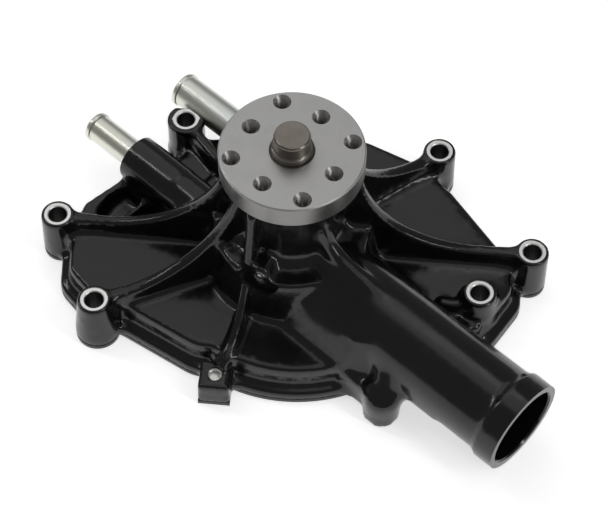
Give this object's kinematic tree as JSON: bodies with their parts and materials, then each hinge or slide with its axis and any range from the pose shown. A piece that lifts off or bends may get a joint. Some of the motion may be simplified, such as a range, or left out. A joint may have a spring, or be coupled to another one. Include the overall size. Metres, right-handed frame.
{
  "type": "water pump",
  "caption": "Engine coolant pump: black cast housing with a hose neck, bolt posts, ridged lobes, two plated hose tubes and a steel fan hub on a sealed bearing.",
  "frame": {"origin": "on the shaft axis at the mounting face", "axes": "+Z along the shaft towards the hub, +X along the radiator hose neck, -X along the two hose tubes"},
  "size_m": [0.2991, 0.2214, 0.1265],
  "materials": {
    "casting": "gloss black coating over die-cast aluminium, bare machined post faces",
    "plate_steel": "pressed steel, coated black like the casting",
    "gasket": "coated gasket sheet",
    "screw_steel": "zinc-plated screws",
    "plug_metal": "bare turned plug",
    "tube_zinc": "zinc-plated steel tube with a pale yellow tint",
    "hub_steel": "turned steel, satin",
    "shaft_steel": "heat-darkened ground steel",
    "bearing_steel": "ground bearing steel",
    "ball_steel": "polished balls and rollers",
    "cage": "moulded cage, brass coloured",
    "rubber": "black rubber",
    "seal_brass": "drawn brass cup",
    "spring_steel": "stainless wire",
    "carbon": "carbon ring, matte",
    "ceramic": "white ceramic",
    "impeller_iron": "as-cast iron"
  },
  "bodies": {
    "pump_body": {"housing": "casting", "back_plate": "plate_steel", "plate_gasket": "gasket", "plate_screws": "screw_steel", "gallery_plug": "plug_metal", "heater_tube": "tube_zinc", "bypass_tube": "tube_zinc", "bearing_sleeve": "bearing_steel", "front_bearing_seal": "rubber", "rear_bearing_seal": "rubber", "seal_cup": "seal_brass", "seal_bellows": "rubber", "seal_spring": "spring_steel", "seal_ring": "carbon"},
    "rotor": {"hub_flange": "hub_steel", "bearing_shaft": "shaft_steel", "slinger": "rubber", "seal_seat": "ceramic", "seat_boot": "rubber", "impeller": "impeller_iron"},
    "front_row": {"front_balls": "ball_steel", "front_cage": "cage"},
    "rear_row": {"rear_rollers": "ball_steel", "rear_cage": "cage"}
  },
  "joints": [
    {"name": "rotor_spin", "type": "hinge", "parent": "pump_body", "child": "rotor", "pos_m": [0, 0, 0.084], "axis": [0, 0, 1], "continuous": true},
    {"name": "front_row_spin", "type": "hinge", "parent": "pump_body", "child": "front_row", "pos_m": [0, 0, 0.084], "axis": [0, 0, 1], "continuous": true},
    {"name": "rear_row_spin", "type": "hinge", "parent": "pump_body", "child": "rear_row", "pos_m": [0, 0, 0.066], "axis": [0, 0, 1], "continuous": true}
  ],
  "couplings": [
    {"joint": "front_row_spin", "follows": "rotor_spin", "ratio": 0.375},
    {"joint": "rear_row_spin", "follows": "rotor_spin", "ratio": 0.4016}
  ]
}
